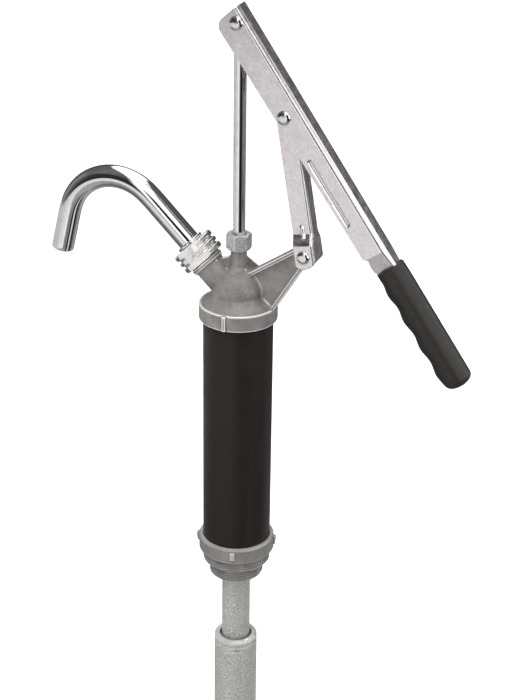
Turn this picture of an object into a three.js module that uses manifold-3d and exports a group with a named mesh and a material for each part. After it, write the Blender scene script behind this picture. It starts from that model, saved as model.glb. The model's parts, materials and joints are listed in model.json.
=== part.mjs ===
// Lever-action drum pump, in millimetres, +Z up.
// The origin is on the pump's axis, in the plane of the shoulder that seats on the drum's bung.
// The spout points to -X and the lever to +X, and the whole mechanism swings in the XZ plane.
import * as THREE from 'three';
import { mergeVertices } from 'three/addons/utils/BufferGeometryUtils.js';
import Module from 'manifold-3d';

const wasm = await Module();
wasm.setup();

// ---- driving dimensions ----
const GAP = 0.3;
const ROUND = 36;
const SMALL_ROUND = 16;
const SHEET = 1.5;

const BUNG = { ringR: 33.3, ringTop: 14, threadR: 29.8, threadBottom: -11.6,
  noseR: 23.6, bottom: -26, floor: 4, lugs: 4, lugTurn: 0.258, lugWidth: 4, lugProud: 2.5, lugHeight: 8 };
const CYLINDER = { outerR: 29.7, innerR: 28.2, bottom: 6, top: 234 };
const HEAD = { rimR: 33.2, rimBottom: 224, rimTop: 238, socketTop: 235.7,
  domeR: 21.7, domeZ: 248.1, domeBottom: 246.6, flareR: 30.2, neckR: 25.2, neckZ: 241.6,
  cavityR: 18.3, skirtR: 27, skirtTop: 237, ribThick: 3, rimLug: 4 };
const GLAND = { bossR: 6.8, bossTop: 291, flats: 19, bottom: 285, top: 299.5, chamfer: 2,
  cavityR: 7.1, cavityTop: 297 };
const ROD = { r: 5.15, eyeR: 6.4, eyeWidth: 13.6, shankR: 4, shoulder: 212, bottom: 182, runningGap: 0.1 };

const PIVOT_ROD = { x: 0, z: 476 };
const PIVOT_LINK = { x: 40.56, z: 404.95 };
const PIVOT_ARM = { x: 60, z: 290.8 };
const RIVET = { r: 3, holeR: 3.2, headR: 5.8, headThick: 1.6 };

const ARM = { webThick: 4.6, flangeWidth: 12, flangeThick: 3, bossR: 7.4, bossWidth: 19.6 };
const SPOUT = { tilt: -Math.PI / 4, axisZ: 241.1, bossStart: 4, bossR: 13, bossEnd: 41.6, flangeR: 14.6,
  spigotR: 13.6, spigotEnd: 51, boreR: 9.8, tubeR: 9.5, tubeWall: 1.3, tubeStart: 34, straightEnd: 113.3,
  bendR: 43.5, mouthTilt: 0.2304, mouthLength: 38.5, collarR: 12, collarWidth: 2.7 };
const SPOUT_NUT = { bottom: 42.5, top: 60, r: 19, grooveDepth: 2.2, grooveWidth: 2.4, pitch: 5.8, grooves: 2,
  cavityR: 14.3, cavityTop: 57, flatDistance: 15, flatWidth: 23, turn: 0.227 };

const HANDLE = { angle: 55.3 * Math.PI / 180, width: 20, back: 8.5, cornerR: 3.5,
  neckStart: 206, neckEnd: 222, tangEnd: 305, tangWidth: 14, tangOpen: -6.5 };
const GRIP = { start: 227, end: 341, centre: 0.3, mouthR: 12.3, r: 12.5,
  crests: [247, 272, 298, 324], crest: 0.8 };
const LINK = { angle: -9.67 * Math.PI / 180, length: 115.8, width: 16, footWidth: 24, back: 9.3, open: -7.3,
  topR: 7.2, footR: 10.4, jogStart: 9, jogEnd: 20 };

const PISTON = { r: 27.9, bodyR: 25.2, bodyBottom: 196, bodyTop: 202, portR: 3.2, portCircle: 13, ports: 6,
  cupWall: 2.2, cupBottom: 193.6, cupTop: 206, cupHoleR: 18, plateBottom: 190, discR: 20, discTop: 204.2,
  nutR: 7.5, nutHeight: 5 };
const FOOT = { seatR: 27.8, seatTop: 7.2, portR: 8.5, discR: 12, discTop: 9.4,
  cageR: 15.6, cageTop: 18, window: 9 };
const SUCTION = { innerR: 12.7, innerWall: 1.3, innerTop: -6, innerBottom: -486,
  outerR: 19.5, outerWall: 1.3, outerTop: -93, outerBottom: -526, lipR: 14,
  bead: 10, beadWidth: 3, beadDepth: 0.9, notchWidth: 8, notchDepth: 6 };

const LOOKS = {
  casting: { color: 0x6e6a66, roughness: 0.6, metalness: 0.7 },
  blackTube: { color: 0x2b2b2d, roughness: 0.42, metalness: 0.1 },
  bright: { color: 0xc9c7c6, roughness: 0.3, metalness: 1 },
  chrome: { color: 0xdedede, roughness: 0.12, metalness: 1 },
  zinc: { color: 0x9b9893, roughness: 0.45, metalness: 0.9 },
  brass: { color: 0xb08d4a, roughness: 0.35, metalness: 1 },
  rubber: { color: 0x1b1b1b, roughness: 0.8, metalness: 0 },
  grip: { color: 0x161617, roughness: 0.5, metalness: 0 },
};

// ---- geometry helpers ----
function lathe(profile, segments = ROUND) {
  const points = profile.map(([r, z]) => new THREE.Vector2(r, z));
  return new THREE.LatheGeometry(points, segments).rotateX(Math.PI / 2);
}

function ring(innerR, outerR, bottom, top, segments = ROUND) {
  const section = [[innerR, bottom], [outerR, bottom], [outerR, top], [innerR, top], [innerR, bottom]];
  return lathe(section, segments);
}

function disc(r, bottom, top, segments = ROUND) {
  return lathe([[0, bottom], [r, bottom], [r, top], [0, top]], segments);
}

// a plate in the XZ plane, centred on y = 0
function plate(outline, width) {
  const shape = new THREE.Shape(outline.map(([x, z]) => new THREE.Vector2(x, z)));
  const geometry = new THREE.ExtrudeGeometry(shape, { depth: width, bevelEnabled: false });
  return geometry.rotateX(Math.PI / 2).translate(0, width / 2, 0);
}

// a round bar along Y
function crossBar(r, fromY, toY, x = 0, z = 0) {
  return disc(r, 0, toY - fromY, SMALL_ROUND).rotateX(-Math.PI / 2).translate(x, fromY, z);
}

function arc(centreX, centreZ, r, from, to, steps) {
  return Array.from({ length: steps + 1 }, (_, i) => {
    const turn = from + (to - from) * i / steps;
    return [centreX + r * Math.cos(turn), centreZ + r * Math.sin(turn)];
  });
}

// sections with equal point counts, joined along Z and closed at both ends
function loft(sections) {
  const count = sections[0].outline.length;
  const positions = sections.flatMap(({ at, outline }) => outline.flatMap(([x, y]) => [x, y, at]));
  const indices = [];
  for (let level = 0; level + 1 < sections.length; level += 1) {
    for (let i = 0; i < count; i += 1) {
      const a = level * count + i;
      const b = level * count + (i + 1) % count;
      indices.push(a, b, b + count, a, b + count, a + count);
    }
  }
  const last = (sections.length - 1) * count;
  const capOf = ({ outline }) => {
    const points = outline.map(([x, y]) => new THREE.Vector2(x, y));
    return THREE.ShapeUtils.triangulateShape(points, []);
  };
  capOf(sections[0]).forEach(([a, b, c]) => indices.push(a, c, b));
  capOf(sections.at(-1)).forEach(([a, b, c]) => indices.push(last + a, last + b, last + c));
  const geometry = new THREE.BufferGeometry();
  geometry.setAttribute('position', new THREE.Float32BufferAttribute(positions, 3));
  geometry.setIndex(indices);
  return geometry;
}

function solid(geometry) {
  const bare = geometry.clone();
  bare.deleteAttribute('normal');
  bare.deleteAttribute('uv');
  const merged = mergeVertices(bare, 1e-4);
  const triangles = [];
  for (let i = 0; i < merged.index.count; i += 3) {
    const [a, b, c] = [0, 1, 2].map((corner) => merged.index.getX(i + corner));
    if (a !== b && b !== c && c !== a) triangles.push(a, b, c);
  }
  return new wasm.Manifold(new wasm.Mesh({
    numProp: 3,
    vertProperties: new Float32Array(merged.attributes.position.array),
    triVerts: new Uint32Array(triangles),
  }));
}

function join(...geometries) {
  return geometries.map(solid).reduce((whole, next) => whole.add(next));
}

function cut(whole, ...tools) {
  return tools.map(solid).reduce((rest, tool) => rest.subtract(tool), whole);
}

function toGeometry(manifold) {
  const { vertProperties, triVerts } = manifold.getMesh();
  const indexed = new THREE.BufferGeometry();
  indexed.setAttribute('position', new THREE.Float32BufferAttribute(vertProperties, 3));
  indexed.setIndex(Array.from(triVerts));
  const geometry = indexed.toNonIndexed();
  geometry.computeVertexNormals();
  return geometry;
}

function mesh(name, geometry, look) {
  const part = new THREE.Mesh(geometry, new THREE.MeshStandardMaterial(LOOKS[look]));
  part.name = name;
  return part;
}

// ---- barrel ----
function cylinderTube() {
  return ring(CYLINDER.innerR, CYLINDER.outerR, CYLINDER.bottom, CYLINDER.top);
}

function headGasket() {
  return ring(CYLINDER.innerR, CYLINDER.outerR, CYLINDER.top + GAP, HEAD.socketTop - GAP);
}

function bungAdapter() {
  const { ringR, ringTop, threadR, threadBottom, noseR, bottom, floor } = BUNG;
  const body = lathe([[0, bottom], [noseR - 1, bottom], [noseR, bottom + 1], [noseR, threadBottom],
    [threadR - 1, threadBottom], [threadR, threadBottom + 1], [threadR, 0], [ringR, 0],
    [ringR, ringTop - 1], [ringR - 1, ringTop], [0, ringTop]]);
  const lugs = Array.from({ length: BUNG.lugs }, (_, i) => {
    const length = BUNG.lugProud + 2;
    const lug = new THREE.BoxGeometry(length, BUNG.lugWidth, BUNG.lugHeight);
    const turn = BUNG.lugTurn + i * 2 * Math.PI / BUNG.lugs;
    return lug.translate(ringR + BUNG.lugProud - length / 2, 0, ringTop / 2).rotateZ(turn);
  });
  const socket = disc(CYLINDER.outerR + GAP, floor, ringTop + 1);
  const well = disc(SUCTION.innerR + GAP, bottom - 1, SUCTION.innerTop + GAP);
  const throat = disc(FOOT.portR + 1, SUCTION.innerTop, floor + 1, SMALL_ROUND);
  return toGeometry(cut(join(body, ...lugs), socket, well, throat));
}

function footValveSeat() {
  const { seatR, seatTop, portR } = FOOT;
  return ring(portR, seatR, BUNG.floor + GAP, seatTop, ROUND);
}

function baseGasket() {
  const bottom = BUNG.floor + GAP;
  return ring(FOOT.seatR + GAP, CYLINDER.outerR - GAP, bottom, CYLINDER.bottom - GAP);
}

function footValveDisc() {
  return disc(FOOT.discR, FOOT.seatTop + GAP, FOOT.discTop, SMALL_ROUND);
}

function footValveCage() {
  const { seatTop, cageR, cageTop, window } = FOOT;
  const outer = disc(cageR, seatTop + GAP, cageTop);
  const inside = disc(cageR - SHEET, seatTop, cageTop - SHEET);
  const eye = disc(window / 2, seatTop, cageTop + 1, SMALL_ROUND);
  const windowHeight = cageTop - SHEET - seatTop - 3;
  const windows = [0, 1].map((i) => {
    const slot = new THREE.BoxGeometry(cageR * 3, window, windowHeight);
    return slot.translate(0, 0, cageTop - SHEET - windowHeight / 2).rotateZ(i * Math.PI / 2);
  });
  return toGeometry(cut(solid(outer), inside, eye, ...windows));
}

// ---- suction tubes ----
function innerSuctionTube() {
  const { innerR, innerWall, innerTop, innerBottom } = SUCTION;
  return ring(innerR - innerWall, innerR, innerBottom, innerTop, 32);
}

function outerSuctionTube() {
  const { outerR, outerWall, outerTop, outerBottom, lipR, bead, beadWidth, beadDepth } = SUCTION;
  const innerR = outerR - outerWall;
  const beadMiddle = outerTop - bead;
  const beadTop = beadMiddle + beadWidth / 2;
  const beadBottom = beadMiddle - beadWidth / 2;
  const wall = lathe([[innerR, outerBottom], [outerR, outerBottom], [outerR, beadBottom],
    [outerR - beadDepth, beadMiddle], [outerR, beadTop], [outerR, outerTop - 1.5],
    [outerR - 1.5, outerTop], [lipR, outerTop], [lipR, outerTop - outerWall],
    [innerR, outerTop - outerWall - 0.5], [innerR, beadTop], [innerR - beadDepth, beadMiddle],
    [innerR, beadBottom], [innerR, outerBottom]], 32);
  const notches = [0, 1].map((i) => {
    const notch = new THREE.BoxGeometry(outerR * 3, SUCTION.notchWidth, SUCTION.notchDepth * 2);
    return notch.translate(0, 0, outerBottom).rotateZ(i * Math.PI / 2);
  });
  return toGeometry(cut(solid(wall), ...notches));
}

function suctionSeal() {
  const { innerR, outerR, outerWall, outerTop, bead } = SUCTION;
  return ring(innerR + 0.1, outerR - outerWall - GAP, outerTop - bead + 2, outerTop - 2.5, 32);
}

// ---- head ----
function armWeb() {
  const { x, z } = PIVOT_ARM;
  return plate([[6, 254], [24, 238], [30, 238], [34, 238.5], [x - 3, z - 13], [x, z - 4], [x, z + 4],
    [x - 8, z + 2], [11, 266]], ARM.webThick);
}

// a flat bar in the XZ plane whose outer edge runs between two points
function flange(x0, z0, x1, z1, side) {
  const length = Math.hypot(x1 - x0, z1 - z0);
  const nx = side * (z1 - z0) / length * ARM.flangeThick;
  const nz = side * -(x1 - x0) / length * ARM.flangeThick;
  const outline = [[x0, z0], [x1, z1], [x1 + nx, z1 + nz], [x0 + nx, z0 + nz]];
  return plate(side > 0 ? outline.reverse() : outline, ARM.flangeWidth);
}

function fulcrumArm() {
  const { x, z } = PIVOT_ARM;
  return [
    armWeb(),
    flange(11.6, 268, x - 4.5, z + 6.6, 1),
    flange(31, 235, x + 2.5, z - 5, -1),
    crossBar(ARM.bossR, -ARM.bossWidth / 2, ARM.bossWidth / 2, x, z),
  ];
}

// Z runs along the spout boss before this, and tilts over to -X with it
function onSpoutAxis(geometry) {
  return geometry.rotateY(SPOUT.tilt).translate(0, 0, SPOUT.axisZ);
}

function spoutBoss() {
  const { bossStart, bossR, bossEnd, flangeR, spigotR, spigotEnd } = SPOUT;
  const boss = lathe([[0, bossStart], [bossR, bossStart], [bossR, bossEnd - 4], [flangeR, bossEnd - 2.5],
    [flangeR, bossEnd], [spigotR, bossEnd], [spigotR, spigotEnd], [0, spigotEnd]], 32);
  return onSpoutAxis(boss);
}

// one rib ties the spout boss to the gland boss, the other runs down the far side of the dome
function headRibs() {
  const rearTurn = 0.87;
  const left = plate([[-4, 262], [-10, 256], [-26, 262], [-18, 274], [-7, 279], [-4, 279]], HEAD.ribThick);
  const rear = plate([[4, 279], [4, 258], [20.5, 255], [20.5, 265], [6.8, 279]], HEAD.ribThick);
  return [left, rear.rotateZ(rearTurn)];
}

function headCasting() {
  const { rimR, rimBottom, rimTop, socketTop, domeR, domeZ, domeBottom, cavityR } = HEAD;
  const { bossR, bossTop } = GLAND;
  const domeStart = Math.asin((domeBottom - domeZ) / domeR);
  const domeEnd = Math.acos(bossR / domeR);
  const dome = arc(0, domeZ, domeR, domeStart, domeEnd, 8);
  const shell = lathe([[0, rimBottom], [rimR - 0.6, rimBottom], [rimR, rimBottom + 0.6], [rimR, rimTop - 0.6],
    [rimR - 0.6, rimTop], [HEAD.flareR, rimTop + 0.5], [HEAD.neckR, HEAD.neckZ], ...dome,
    [bossR, bossTop], [0, bossTop]]);
  const lug = new THREE.BoxGeometry(HEAD.rimLug, HEAD.rimLug, rimTop - rimBottom - 1);
  lug.translate(0, -rimR + 0.4, (rimTop + rimBottom) / 2);
  const socketR = CYLINDER.outerR + GAP;
  const rodHoleR = ROD.r + 0.2;
  const roof = arc(0, domeZ, cavityR, -0.12, Math.acos(rodHoleR / cavityR), 8);
  const cavity = lathe([[0, rimBottom - 1], [socketR, rimBottom - 1], [socketR, socketTop],
    [CYLINDER.innerR, socketTop], [HEAD.skirtR, HEAD.skirtTop], ...roof,
    [rodHoleR, bossTop + 1], [0, bossTop + 1]]);
  const spoutBore = onSpoutAxis(disc(SPOUT.boreR, 0, SPOUT.spigotEnd + 1, 32));
  const pinHole = crossBar(RIVET.holeR, -20, 20, PIVOT_ARM.x, PIVOT_ARM.z);
  const body = join(shell, spoutBoss(), ...fulcrumArm(), ...headRibs(), lug);
  return toGeometry(cut(body, cavity, spoutBore, pinHole));
}

function glandNut() {
  const { flats, bottom, top, chamfer, cavityR, cavityTop } = GLAND;
  const cornerR = flats / Math.sqrt(3);
  const hexagon = disc(cornerR, bottom, top, 6);
  const cone = lathe([[0, bottom], [cornerR - chamfer, bottom], [cornerR + 0.2, bottom + chamfer + 0.2],
    [cornerR + 0.2, top - chamfer + 0.6], [cornerR - chamfer, top], [0, top]]);
  const cavity = disc(cavityR, bottom - 1, cavityTop, 32);
  const hole = disc(ROD.r + 0.25, bottom, top + 1, 32);
  return toGeometry(cut(solid(hexagon).intersect(solid(cone)), cavity, hole));
}

function glandPacking() {
  return ring(ROD.r + ROD.runningGap, GLAND.bossR, GLAND.bossTop + GAP, GLAND.cavityTop - GAP, 32);
}

// ---- rod and piston ----
function pistonRod() {
  const { r, eyeR, eyeWidth, shankR, shoulder, bottom } = ROD;
  const { x, z } = PIVOT_ROD;
  const rod = lathe([[0, bottom], [shankR, bottom], [shankR, shoulder], [r, shoulder], [r, z], [0, z]], 32);
  const eye = crossBar(eyeR, -eyeWidth / 2, eyeWidth / 2, x, z);
  return toGeometry(cut(join(rod, eye), crossBar(RIVET.holeR, -eyeWidth, eyeWidth, x, z)));
}

function ported(geometry) {
  const holes = Array.from({ length: PISTON.ports }, (_, i) => {
    const hole = disc(PISTON.portR, PISTON.plateBottom - 1, PISTON.bodyTop + 1, 12);
    return hole.translate(PISTON.portCircle, 0, 0).rotateZ(i * 2 * Math.PI / PISTON.ports);
  });
  return toGeometry(cut(solid(geometry), ...holes));
}

function pistonBody() {
  return ported(ring(ROD.shankR + GAP, PISTON.bodyR, PISTON.bodyBottom, PISTON.bodyTop));
}

function pistonFollower() {
  return ported(ring(ROD.shankR + GAP, PISTON.bodyR - 1, PISTON.plateBottom, PISTON.cupBottom - GAP));
}

function pistonCup() {
  const { r, cupWall, cupBottom, cupTop, cupHoleR, bodyBottom } = PISTON;
  const innerR = r - cupWall;
  const baseTop = bodyBottom - GAP;
  return lathe([[cupHoleR, cupBottom], [r, cupBottom], [r, cupTop], [innerR, cupTop], [innerR, baseTop],
    [cupHoleR, baseTop], [cupHoleR, cupBottom]]);
}

function pistonValveDisc() {
  return ring(ROD.shankR + GAP, PISTON.discR, PISTON.bodyTop + GAP, PISTON.discTop, 32);
}

function pistonNut() {
  const top = PISTON.plateBottom - GAP;
  const bottom = top - PISTON.nutHeight;
  const hexagon = disc(PISTON.nutR, bottom, top, 6);
  return toGeometry(cut(solid(hexagon), disc(ROD.shankR + GAP, bottom - 1, top + 1, 32)));
}

// ---- spout ----
function spoutPath() {
  const { tilt, axisZ, tubeStart, straightEnd, bendR, mouthTilt, mouthLength } = SPOUT;
  const along = new THREE.Vector3(Math.sin(tilt), 0, Math.cos(tilt));
  const base = new THREE.Vector3(0, 0, axisZ);
  const start = base.clone().addScaledVector(along, tubeStart);
  const bendStart = base.clone().addScaledVector(along, straightEnd);
  const inward = new THREE.Vector3(along.z, 0, -along.x).negate();
  const centre = bendStart.clone().addScaledVector(inward, bendR);
  const turn = Math.PI - Math.abs(tilt) - mouthTilt;
  const onBend = (angle) => new THREE.Vector3().subVectors(bendStart, centre)
    .applyAxisAngle(new THREE.Vector3(0, 1, 0), -angle).add(centre);
  const bendEnd = onBend(turn);
  const down = new THREE.Vector3(-Math.sin(mouthTilt), 0, -Math.cos(mouthTilt));
  const mouth = bendEnd.clone().addScaledVector(down, mouthLength);
  return { start, bendStart, onBend, turn, bendEnd, mouth };
}

class SpoutCurve extends THREE.Curve {
  constructor() {
    super();
    const { start, bendStart, onBend, turn, bendEnd, mouth } = spoutPath();
    Object.assign(this, { start, bendStart, onBend, turn, bendEnd, mouth });
    this.firstLength = start.distanceTo(bendStart);
    this.bendLength = turn * SPOUT.bendR;
    this.totalLength = this.firstLength + this.bendLength + SPOUT.mouthLength;
  }

  getPoint(t) {
    const distance = t * this.totalLength;
    if (distance <= this.firstLength) {
      return this.start.clone().lerp(this.bendStart, distance / this.firstLength);
    }
    const past = distance - this.firstLength;
    if (past <= this.bendLength) return this.onBend(past / SPOUT.bendR);
    return this.bendEnd.clone().lerp(this.mouth, (past - this.bendLength) / SPOUT.mouthLength);
  }
}

function spoutTube() {
  const section = new THREE.Shape().absarc(0, 0, SPOUT.tubeR, 0, 2 * Math.PI, false);
  section.holes.push(new THREE.Path().absarc(0, 0, SPOUT.tubeR - SPOUT.tubeWall, 0, 2 * Math.PI, true));
  return new THREE.ExtrudeGeometry(section, { steps: 22, curveSegments: 9, extrudePath: new SpoutCurve() });
}

function spoutNut() {
  const { bottom, top, r, grooveDepth, grooveWidth, pitch, cavityR, cavityTop } = SPOUT_NUT;
  const grooves = Array.from({ length: SPOUT_NUT.grooves }, (_, i) => {
    const middle = top - pitch * (i + 1);
    const floorR = r - grooveDepth;
    return [[r, middle + grooveWidth / 2], [floorR, middle + grooveWidth / 2],
      [floorR, middle - grooveWidth / 2], [r, middle - grooveWidth / 2]];
  }).flat();
  const body = lathe([[0, top], [r - 0.8, top], [r, top - 0.8], ...grooves, [r, bottom + 0.8],
    [r - 0.8, bottom], [0, bottom]].reverse());
  const flats = [1, -1].map((side) => {
    const { flatDistance, flatWidth, turn } = SPOUT_NUT;
    const block = new THREE.BoxGeometry(flatWidth, 10, top - bottom + 2);
    return block.translate(0, side * (flatDistance + 5), (top + bottom) / 2).rotateZ(turn);
  });
  const cavity = disc(cavityR, bottom - 1, cavityTop, 32);
  const hole = disc(SPOUT.boreR, bottom, top + 1, 32);
  return onSpoutAxis(toGeometry(cut(solid(body), ...flats, cavity, hole)));
}

function spoutSeal() {
  const outerR = SPOUT_NUT.cavityR - GAP;
  return onSpoutAxis(ring(SPOUT.boreR, outerR, SPOUT.spigotEnd + GAP, SPOUT_NUT.cavityTop - GAP, 32));
}

function spoutCollar() {
  const bottom = SPOUT_NUT.top + GAP;
  return onSpoutAxis(ring(SPOUT.boreR, SPOUT.collarR, bottom, bottom + SPOUT.collarWidth, 32));
}

// ---- link: its own frame has Z along the link, from the arm pivot, and +X at its web ----
function channelSection(back, open, halfWidth, cornerR) {
  const innerR = cornerR - SHEET;
  const corner = back - cornerR;
  const side = halfWidth - cornerR;
  const steps = 3;
  return [
    [open, -halfWidth],
    ...arc(corner, -side, cornerR, -Math.PI / 2, 0, steps),
    ...arc(corner, side, cornerR, 0, Math.PI / 2, steps),
    [open, halfWidth],
    [open, halfWidth - SHEET],
    ...arc(corner, side, innerR, Math.PI / 2, 0, steps),
    ...arc(corner, -side, innerR, 0, -Math.PI / 2, steps),
    [open, -halfWidth + SHEET],
  ];
}

function mirrored(outline) {
  return outline.map(([across, y]) => [-across, y]).reverse();
}

function linkChannel() {
  const { angle, length, width, footWidth, back, open, topR, footR, jogStart, jogEnd } = LINK;
  const reach = 14;
  const stations = [[-reach, footWidth], [jogStart, footWidth], [jogEnd, width], [length + reach, width]];
  const channel = loft(stations.map(([at, outerWidth]) => (
    { at, outline: channelSection(back, open - reach, outerWidth / 2, 2.6) })));
  const outline = [
    ...arc(0, 0, footR, Math.PI * 1.06, Math.PI * 2, 10),
    [footR, 1], [back + 1, 2], [back + 1, length - 3], [topR, length],
    ...arc(0, length, topR, 0.2, Math.PI - 0.2, 8),
    [open, length], [open, jogEnd], [open - 1.2, jogStart],
  ];
  const body = solid(channel).intersect(solid(plate(outline, footWidth * 2)));
  const clearWeb = plate([[4, -12], [back + 2, -12], [back + 2, -3], [4, -3]], footWidth - 2 * SHEET);
  const armHole = crossBar(RIVET.holeR + 0.2, -footWidth, footWidth);
  const handleHole = crossBar(RIVET.holeR + 0.2, -width, width, 0, length);
  const geometry = toGeometry(cut(body, clearWeb, armHole, handleHole));
  return geometry.rotateY(angle).translate(PIVOT_ARM.x, 0, PIVOT_ARM.z);
}

// ---- handle: its own frame has X from the rod pivot to the grip and +Z at its web ----
function inHandleFrame(geometry) {
  return geometry.rotateY(HANDLE.angle).translate(PIVOT_ROD.x, 0, PIVOT_ROD.z);
}

function handleChannel() {
  const { width, back, cornerR, neckStart, neckEnd, tangEnd, tangWidth, tangOpen } = HANDLE;
  const start = -14;
  const stations = [[start, width], [neckStart, width], [neckEnd, tangWidth], [tangEnd, tangWidth]];
  const channel = loft(stations.map(([at, outerWidth]) => (
    { at, outline: mirrored(channelSection(back, -30, outerWidth / 2, cornerR)) })));
  channel.rotateY(Math.PI / 2);
  const outline = [
    ...arc(-0.4, -7.2, 8.2, Math.PI, Math.PI * 1.5, 6),
    [190, -12.7], [211, -12.6], [214, -9], [neckEnd, tangOpen], [tangEnd, tangOpen], [tangEnd, back + 1],
    [-11, back + 1], [-9.8, 0.4],
  ];
  const body = solid(channel).intersect(solid(plate(outline, width * 2)));
  const linkHole = linkPointInHandle();
  const holes = [
    crossBar(RIVET.holeR, -width, width),
    crossBar(RIVET.holeR, -width, width, linkHole.x, linkHole.z),
  ];
  return inHandleFrame(toGeometry(cut(body, ...holes)));
}

function linkPointInHandle() {
  const dx = PIVOT_LINK.x - PIVOT_ROD.x;
  const dz = PIVOT_LINK.z - PIVOT_ROD.z;
  const { angle } = HANDLE;
  return { x: dx * Math.cos(angle) - dz * Math.sin(angle), z: dx * Math.sin(angle) + dz * Math.cos(angle) };
}

function gripSection(at, r) {
  const points = 20;
  const nearest = Math.min(...GRIP.crests.map((crest) => Math.abs(at - crest)));
  const wave = GRIP.crest * Math.cos(Math.min(nearest / 13, 1) * Math.PI);
  return Array.from({ length: points }, (_, i) => {
    const turn = i * 2 * Math.PI / points;
    const under = Math.max(0, Math.cos(turn)) ** 2;
    const radius = r + wave * under;
    return [-GRIP.centre + radius * Math.cos(turn), radius * Math.sin(turn)];
  });
}

function handleGrip() {
  const { start, end, mouthR, r } = GRIP;
  const stations = [[start, mouthR - 0.8], [start + 1, mouthR], [start + 6, mouthR + 0.4]];
  for (let at = start + 12; at < end - 10; at += 6.3) stations.push([at, r]);
  stations.push([end - 7, r - 0.6], [end - 3.5, r - 2.4], [end - 1, r - 5], [end, r - 8]);
  const body = loft(stations.map(([at, radius]) => ({ at, outline: gripSection(at, radius) })));
  body.rotateY(Math.PI / 2);
  const { back, tangOpen, tangEnd, tangWidth } = HANDLE;
  const length = tangEnd + GAP - start + 2;
  const socket = new THREE.BoxGeometry(length, tangWidth + 2 * GAP, back - tangOpen + 2 * GAP);
  socket.translate(start - 2 + length / 2, 0, (back + tangOpen) / 2);
  return inHandleFrame(toGeometry(cut(solid(body), socket)));
}

// ---- rivets ----
function headedPin(reach, headR, pivot) {
  const shank = crossBar(RIVET.r, -reach, reach, pivot.x, pivot.z);
  const front = crossBar(headR, -reach - RIVET.headThick, -reach, pivot.x, pivot.z);
  const back = crossBar(headR, reach, reach + RIVET.headThick, pivot.x, pivot.z);
  return toGeometry(join(shank, front, back));
}

// a rivet through one flange only, so that the channel stays clear inside
function stubRivet(side) {
  const inner = HANDLE.width / 2 - SHEET + 0.1;
  const outer = HANDLE.width / 2 + GAP;
  const far = outer + RIVET.headThick;
  const { x, z } = PIVOT_LINK;
  const shank = side > 0 ? crossBar(RIVET.r, inner, outer, x, z) : crossBar(RIVET.r, -outer, -inner, x, z);
  const head = side > 0 ? crossBar(RIVET.headR, outer, far, x, z) : crossBar(RIVET.headR, -far, -outer, x, z);
  return toGeometry(join(shank, head));
}

// ---- assembly ----
const pump = new THREE.Group();

const barrel = new THREE.Group();
barrel.add(
  mesh('cylinder_tube', cylinderTube(), 'blackTube'),
  mesh('head_casting', headCasting(), 'casting'),
  mesh('head_gasket', headGasket(), 'rubber'),
  mesh('gland_nut', glandNut(), 'zinc'),
  mesh('gland_packing', glandPacking(), 'rubber'),
  mesh('spout_nut', spoutNut(), 'zinc'),
  mesh('spout_seal', spoutSeal(), 'rubber'),
  mesh('fulcrum_pin', headedPin(LINK.footWidth / 2 + GAP, RIVET.headR - 0.3, PIVOT_ARM), 'bright'),
  mesh('bung_adapter', bungAdapter(), 'casting'),
  mesh('base_gasket', baseGasket(), 'rubber'),
  mesh('foot_valve_seat', footValveSeat(), 'brass'),
  mesh('foot_valve_cage', footValveCage(), 'brass'),
  mesh('foot_valve_disc', footValveDisc(), 'rubber'),
  mesh('inner_suction_tube', innerSuctionTube(), 'zinc'),
);

const suction = new THREE.Group();
suction.add(
  mesh('outer_suction_tube', outerSuctionTube(), 'zinc'),
  mesh('suction_seal', suctionSeal(), 'rubber'),
);

const spout = new THREE.Group();
spout.add(
  mesh('spout_tube', spoutTube(), 'chrome'),
  mesh('spout_collar', spoutCollar(), 'bright'),
);

const rod = new THREE.Group();
rod.add(
  mesh('piston_rod', pistonRod(), 'chrome'),
  mesh('piston_body', pistonBody(), 'brass'),
  mesh('piston_follower', pistonFollower(), 'brass'),
  mesh('piston_cup', pistonCup(), 'rubber'),
  mesh('piston_valve_disc', pistonValveDisc(), 'rubber'),
  mesh('piston_nut', pistonNut(), 'brass'),
);

const handle = new THREE.Group();
handle.add(
  mesh('handle_channel', handleChannel(), 'bright'),
  mesh('handle_grip', handleGrip(), 'grip'),
  mesh('rod_pin', headedPin(HANDLE.width / 2 + GAP, RIVET.headR, PIVOT_ROD), 'bright'),
  mesh('link_rivet_front', stubRivet(-1), 'bright'),
  mesh('link_rivet_back', stubRivet(1), 'bright'),
);

const link = new THREE.Group();
link.add(mesh('link_channel', linkChannel(), 'bright'));

pump.add(barrel, suction, spout, rod, handle, link);

export default pump;
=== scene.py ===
import json
import math

import bmesh
import bpy
from mathutils import Matrix, Vector


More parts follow.
